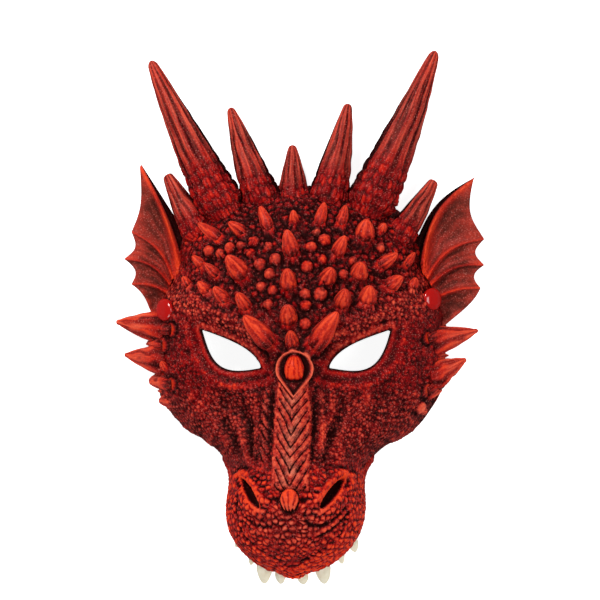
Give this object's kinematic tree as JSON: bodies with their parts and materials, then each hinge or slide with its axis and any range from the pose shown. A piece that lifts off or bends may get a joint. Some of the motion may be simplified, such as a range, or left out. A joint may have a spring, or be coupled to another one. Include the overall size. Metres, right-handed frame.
{
  "type": "dragon mask",
  "caption": "Moulded foam half-face dragon mask with crown horns, fins, cheek spikes, eye holes and a toothed muzzle, and a strap rivet through each temple.",
  "frame": {"origin": "middle of the mask's outline, on the surface that it lies on", "axes": "+Z out of the face, +Y towards the crown horns, +X to the right of someone who looks at the face"},
  "size_m": [0.2506, 0.36, 0.1043],
  "materials": {
    "painted_foam": "satin crimson paint over black moulded foam, dark wash in the recesses and orange-red on the raised carving",
    "red_rivet": "glossy moulded bright red"
  },
  "bodies": {
    "root": {"mask_body": "painted_foam", "strap_rivet_left": "red_rivet", "strap_rivet_right": "red_rivet"}
  },
  "joints": []
}
